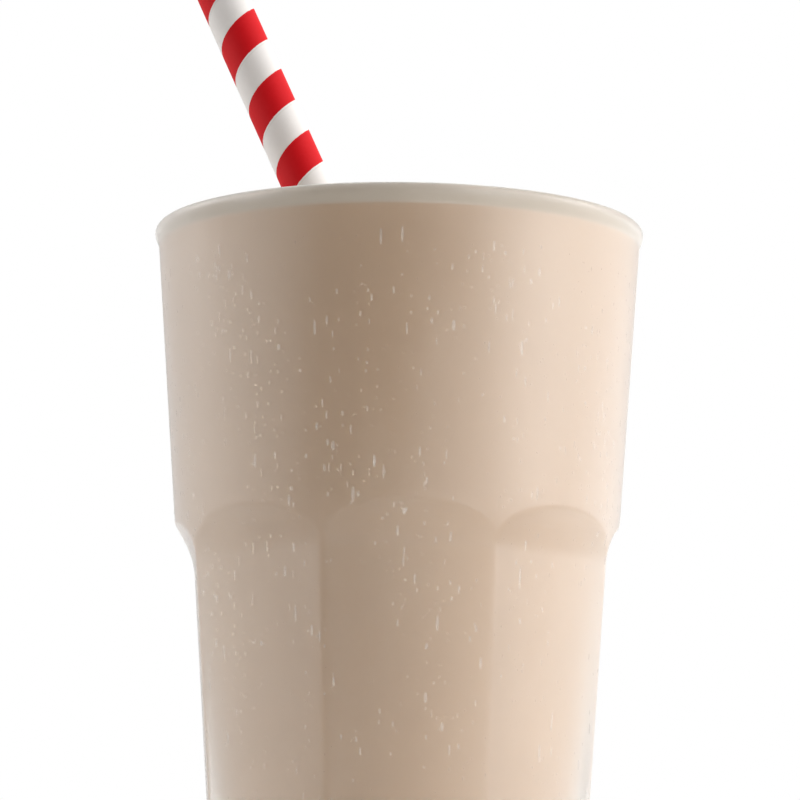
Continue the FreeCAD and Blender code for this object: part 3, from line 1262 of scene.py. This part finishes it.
@dataclass
class Froth:
    """Bubbles that gather on the open top, most along the glass and round the straw.

    Attributes:
        shake: The drink that carries them.
        count: How many are thrown; those that would touch the straw are left out.
        seed: Seed of their places.
        half_width: Smallest and largest half width.
        at_wall: Share of them that gather along the glass.
        spread: How far from the glass most of those lie.
    """

    shake: Shake
    count: int = 1500
    seed: int = 7
    half_width: tuple[float, float] = (0.2 * MM, 1.7 * MM)
    at_wall: float = 0.4
    spread: float = 2.2 * MM

    def build(self, finish: ShakeFinish) -> bpy.types.Object:
        """Scatter the bubbles and dress them.

        Args:
            finish: Finish of the bubbles.

        Returns:
            The piece.
        """
        random = np.random.default_rng(self.seed)
        wall = float(self.shake.glass.cavity(np.array(self.shake.level)))
        widths = np.clip(MM * random.lognormal(-0.85, 0.45, self.count), *self.half_width)
        near_wall = random.random(self.count) < self.at_wall
        radius = np.where(
            near_wall,
            wall - widths - np.abs(random.normal(0.0, self.spread, self.count)),
            (wall - 1.0 * MM) * np.sqrt(random.random(self.count)),
        )
        radius = np.clip(radius, 0.0, wall - widths)
        angle = random.random(self.count) * TURN
        x, y = radius * np.cos(angle), radius * np.sin(angle)
        centre = self.shake.straw.at_height(self.shake.level)
        clear = np.hypot(x - centre.x, y - centre.y) > self.shake.straw.radius * 1.15 + widths
        x, y, widths = x[clear], y[clear], widths[clear]
        centres = np.stack([x, y, self.shake.surface(x, y) - 0.25 * widths], axis=-1)
        up = np.tile([0.0, 0.0, 1.0], (len(x), 1))
        ahead = np.tile([0.0, 1.0, 0.0], (len(x), 1))
        parts = scatter_domes(centres, up, ahead, widths, widths, widths * 0.8, segments=10, rings=3)
        piece = make_mesh("froth_bubbles", *parts)
        piece.data.materials.append(finish.material())
        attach(piece, "root")
        return piece


@dataclass
class Condensation:
    """Fine drops of one kind on the outside of the cold glass.

    Attributes:
        glass: The tumbler that carries them.
        name: Name of the piece.
        count: How many there are.
        half_width: Usual and largest half width.
        drawn_out: How much longer than wide they are drawn.
        segments: Corners round a drop.
        seed: Seed of their places.
        lowest: Height above which they lie.
        highest: Height below which they lie.
        sunk: How far their flat backs lie inside the glass, so that no air gap shows.
    """

    glass: Tumbler
    name: str
    count: int
    half_width: tuple[float, float]
    drawn_out: float
    segments: int
    seed: int
    lowest: float = 10.0 * MM
    highest: float = 123.0 * MM
    sunk: float = 0.02 * MM

    def build(self, finish: Water) -> bpy.types.Object:
        """Scatter the drops over the glass and dress them.

        Of four times as many places as are needed, a share is kept that rises and falls with two
        waves round and up the glass and is larger on the upper cone.

        Args:
            finish: Finish of the drops.

        Returns:
            The piece.
        """
        random = np.random.default_rng(self.seed)
        draws = self.count * 4
        angle = random.random(draws) * TURN
        height = self.lowest + (self.highest - self.lowest) * random.random(draws)
        broad = np.sin(5.0 * angle + 1.3) * np.sin(height / (9.0 * MM) + 0.6)
        patches = broad + np.sin(11.0 * angle + height / (14.0 * MM))
        upper = smooth_step(height, 60.0 * MM, 90.0 * MM)
        share = 0.3 + 0.2 * patches + 0.2 * upper
        keep = np.flatnonzero(random.random(draws) < share)[: self.count]
        angle, height = angle[keep], height[keep]
        count = len(angle)
        widths = np.clip(random.lognormal(0.0, 0.35, count), 0.6, 2.0) * self.half_width[0]
        widths = np.minimum(widths, self.half_width[1])
        lengths = widths * (1.0 + random.gamma(1.6, self.drawn_out, count))
        centres, outward, upward = self.on_glass(angle, height)
        heights = widths * 0.25 + self.sunk
        parts = scatter_domes(
            centres, outward, upward, widths, lengths, heights, segments=self.segments, rings=2
        )
        piece = make_mesh(self.name, *parts)
        piece.data.materials.append(finish.material())
        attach(piece, "root")
        return piece

    def on_glass(self, angle: np.ndarray, height: np.ndarray) -> tuple[np.ndarray, np.ndarray, np.ndarray]:
        """Places on the outside with the directions outwards and up along it.

        The directions come from small steps round and up the surface and their cross product.

        Args:
            angle: Angle of each place from X.
            height: Height of each place.

        Returns:
            Places, outward directions and upward directions.
        """
        step_turn, step_up = 0.002, 0.05 * MM
        here = self.glass.outside_at(angle, height)
        upward = self.glass.outside_at(angle, height + step_up) - here
        round_it = self.glass.outside_at(angle + step_turn, height) - here
        outward = np.cross(round_it, upward)
        outward /= np.linalg.norm(outward, axis=-1, keepdims=True)
        upward /= np.linalg.norm(upward, axis=-1, keepdims=True)
        return here - outward * self.sunk, outward, upward


# --------------------------------------------------------------------------------------------
# Stage, light and camera
# --------------------------------------------------------------------------------------------


@dataclass(frozen=True)
class SoftBox:
    """A large lamp whose face fades out towards its edges.

    Attributes:
        name: Name of the lamp.
        bearing: Direction of the lamp as seen from above, from the front towards the right.
        distance: Level distance from the glass.
        height: Height of its middle.
        width: Width of its face.
        tall: Height of its face.
        radiance: Brightness of its middle.
        fade: Share of its half width and half height over which it fades.
    """

    name: str
    bearing: float
    distance: float
    height: float
    width: float
    tall: float
    radiance: float
    fade: tuple[float, float] = (1.0, 0.5)

    def build(self, aim: Vector) -> None:
        """Make the lamp and turn it to a point.

        Args:
            aim: The point that it faces.
        """
        lamp = bpy.data.lights.new(self.name, "AREA")
        lamp.shape = "RECTANGLE"
        lamp.size = self.width
        lamp.size_y = self.tall
        # An area lamp's face is as bright as its power over its area times pi.
        lamp.energy = self.radiance * self.width * self.tall * math.pi
        lamp.use_nodes = True
        Feather(lamp.node_tree).fade_edges(self.fade)
        holder = bpy.data.objects.new(self.name, lamp)
        across, ahead = math.sin(self.bearing), -math.cos(self.bearing)
        spot = Vector((across * self.distance, ahead * self.distance, self.height))
        facing = (aim - spot).to_track_quat("-Z", "Y").to_matrix().to_4x4()
        holder.matrix_world = Matrix.Translation(spot) @ facing
        holder.visible_camera = False
        holder.visible_transmission = False
        bpy.context.scene.collection.objects.link(holder)


@dataclass
class Studio:
    """Pale floor, white surroundings, dark card and soft lamps.

    Attributes:
        ambient: Brightness of the light from all round.
        key: Brightness of the high lamp at the right.
        left: Brightness of the tall box on the left.
        right: Brightness of the tall box on the right.
        faint: Brightness of the low boxes on the left.
        strong: Brightness of the low box at the front right.
        glow: Brightness of the low boxes at the right and behind it.
        strip: Brightness of the strip on the table.
        floor_reach: Half the width of the floor.
        floor_fade: Distances from the glass between which the floor blends into the white.
    """

    ambient: float = 0.25
    key: float = 5.5
    left: float = 6.5
    right: float = 8.0
    faint: float = 0.65
    strong: float = 5.0
    glow: float = 1.5
    strip: float = 4.0
    floor_reach: float = 3.0
    floor_fade: tuple[float, float] = (0.22, 0.50)

    def build_world(self) -> None:
        """Even light on the object, and plain white where the eye looks out, also by gloss or glass."""
        world = bpy.data.worlds.new("studio_white")
        world.use_nodes = True
        Surroundings(world.node_tree).fill(self.ambient)
        bpy.context.scene.world = world

    def build_floor(self) -> None:
        """A plain pale floor that keeps the glass's shadow and turns to the world's white further out.

        Where it is seen it blends into plain white. For the light that it throws back it thins out
        over the same distance, so that only the near part of it lights the glass.
        """
        reach = self.floor_reach
        corners = reach * np.array([[-1.0, -1.0, 0.0], [1.0, -1.0, 0.0], [1.0, 1.0, 0.0], [-1.0, 1.0, 0.0]])
        floor = make_sheet("pale_floor", corners)
        finish = Finish("pale_floor")
        grain = finish.noise(per_metre=400.0, detail=2.0)
        colour = finish.blend(grain * 0.2, srgb(244, 243, 241), srgb(238, 237, 235))
        length = finish.node("ShaderNodeVectorMath", {"operation": "LENGTH"}, {0: finish.place()})
        far = Signal(finish, length.outputs["Value"]).ramp(*self.floor_fade)
        seen = finish.seen()
        alpha = 1.0 - far * (1.0 - seen)
        sockets = {"Base Color": colour, "Roughness": 0.7, "Specular IOR Level": 0.2, "Alpha": alpha}
        white = finish.node("ShaderNodeEmission", None, {"Color": WHITE, "Strength": 1.0})
        surface = finish.between(far * seen, finish.principled(sockets), white)
        floor.data.materials.append(finish.show(surface))

    def build_lamps(self, aim: Vector) -> None:
        """Make a high key on the right, tall boxes on both sides, low ones and a strip for the glass.

        Args:
            aim: Point that all but the strip face.
        """
        key = SoftBox(
            name="key_box", bearing=math.radians(60.0), distance=0.90, height=1.00, width=0.90, tall=0.70,
            radiance=self.key,
        )
        key.build(aim)
        tall = {"distance": 1.20, "height": 0.80, "width": 1.60, "tall": 1.40, "fade": (1.0, 1.0)}
        low = {"distance": 1.20, "height": 0.18, "width": 1.60, "tall": 0.42}
        boxes = (
            ("tall_box_0", -105.0, self.left, tall),
            ("tall_box_1", 95.0, self.right, tall),
            ("low_box_0", -105.0, self.faint, low),
            ("low_box_1", -70.0, self.faint, low),
            ("low_box_2", 65.0, self.strong, low),
            ("low_box_3", 95.0, self.glow, low),
            ("low_box_4", 125.0, self.glow, low),
        )
        for name, bearing, radiance, size in boxes:
            SoftBox(name=name, bearing=math.radians(bearing), radiance=radiance, **size).build(aim)
        strip = SoftBox(
            name="table_strip", bearing=math.radians(25.0), distance=0.55, height=0.032, width=0.38,
            tall=0.064, radiance=self.strip, fade=(0.1, 0.2),
        )
        strip.build(Vector((0.0, 0.0, strip.height)))

    def build_card(self) -> None:
        """A dark card behind the camera, hidden from the eye, from what is seen through glass and from
        shadow rays, for the glass to reflect.
        """
        low, high = (-1.60, -1.30, 0.0), (0.80, -1.30, 0.90)
        corners = np.array([low, (high[0], high[1], low[2]), high, (low[0], high[1], high[2])])
        card = make_sheet("dark_card", corners)
        finish = Finish("dark_card")
        left_fade, right_fade = 0.15, 0.50
        across, _, _ = finish.parts(finish.place())
        shown = across.ramp(low[0], low[0] + left_fade) * (1.0 - across.ramp(high[0] - right_fade, high[0]))
        dark = {"Base Color": srgb(58, 58, 58), "Roughness": 0.9, "Specular IOR Level": 0.0, "Alpha": shown}
        card.data.materials.append(finish.show(finish.principled(dark)))
        card.visible_camera = False
        card.visible_transmission = False
        card.visible_shadow = False


@dataclass(frozen=True)
class View:
    """A long lens just above the table that looks up at the glass.

    Attributes:
        place: Where it stands.
        tilt: How far it looks up from level.
        roll: How far it is turned about its own line of sight.
        focal: Focal length, in millimetres.
        sensor: Width of its sensor, in millimetres.
    """

    place: tuple[float, float, float] = (0.3 * MM, -643.0 * MM, 4.3 * MM)
    tilt: float = math.radians(8.77)
    roll: float = math.radians(0.39)
    focal: float = 184.0
    sensor: float = 36.0

    def build(self) -> None:
        """Make the camera and look through it."""
        lens = bpy.data.cameras.new("view")
        lens.sensor_width = self.sensor
        lens.lens = self.focal
        holder = bpy.data.objects.new("view", lens)
        pitch = Matrix.Rotation(math.pi / 2.0 + self.tilt, 4, "X")
        roll = Matrix.Rotation(self.roll, 4, "Z")
        holder.matrix_world = Matrix.Translation(Vector(self.place)) @ pitch @ roll
        bpy.context.scene.collection.objects.link(holder)
        bpy.context.scene.camera = holder


def main() -> None:
    """Build each sub-assembly in order and report it."""
    logging.basicConfig(level=logging.INFO, format="%(name)s: %(message)s")
    bpy.context.scene.view_settings.view_transform = "Standard"
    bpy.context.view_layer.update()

    glass_low, glass_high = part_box("glass_tumbler")
    straw_low, straw_high = (Vector(corner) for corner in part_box("paper_straw"))
    tumbler = Tumbler(height=glass_high[2], rim_radius=(glass_high[0] - glass_low[0]) / 2.0)
    straw = PaperStraw(middle=(straw_low + straw_high) / 2.0)
    shake = Shake(glass=tumbler, straw=straw, level=tumbler.height - 2.4 * MM)

    milk, pale_milk = srgb(174, 137, 98), srgb(182, 146, 108)
    thin = srgb(178, 161, 140)
    wet = {"gloss": 1.0, "roughness": 0.6, "bubble_depth": 0.0, "ior": 1.6}
    fading = {"film": thin, "thins_at": shake.level - 0.2 * MM}
    in_glass = ShakeFinish("shake_in_glass", milk, pale_milk, **wet, depth=0.15, haze=1.0, **fading)
    film = ShakeFinish("shake_film", thin, thin, **wet, depth=0.0, haze=0.5)
    on_top = ShakeFinish(
        "shake_top", srgb(192, 160, 126), srgb(210, 184, 154),
        gloss=0.2, roughness=0.6, bubble_depth=0.12 * MM,
    )
    bubble_skin = ShakeFinish(
        "bubble_skin", srgb(200, 171, 139), srgb(216, 193, 166),
        gloss=0.3, roughness=0.35, bubble_depth=0.0,
    )
    paper = StripedPaper(
        paper=srgb(236, 232, 229), print_colour=srgb(204, 0, 14), pitch=12.8 * MM, share=0.52, start=0.42,
        soaked=(shake.level - straw.foot.z) / straw.axis.z + 3.0 * MM,
    )

    beads = Condensation(
        tumbler, "mist_beads",
        count=2400, half_width=(0.09 * MM, 0.16 * MM), drawn_out=0.6, segments=6, seed=21,
    )
    runs = Condensation(
        tumbler, "condensation_runs",
        count=1700, half_width=(0.15 * MM, 0.28 * MM), drawn_out=1.2, segments=8, seed=33,
    )
    water = Water()
    pieces = [
        tumbler.build(ClearGlass()),
        shake.build(in_glass, film, on_top),
        straw.build(paper),
        Froth(shake).build(bubble_skin),
        beads.build(water),
        runs.build(water),
    ]
    for piece in pieces:
        LOG.info("%s: %d faces", piece.name, len(piece.data.polygons))

    studio = Studio()
    studio.build_world()
    studio.build_floor()
    studio.build_card()
    studio.build_lamps(Vector((0.0, 0.0, 0.09)))
    View().build()


if __name__ == "__main__":
    main()
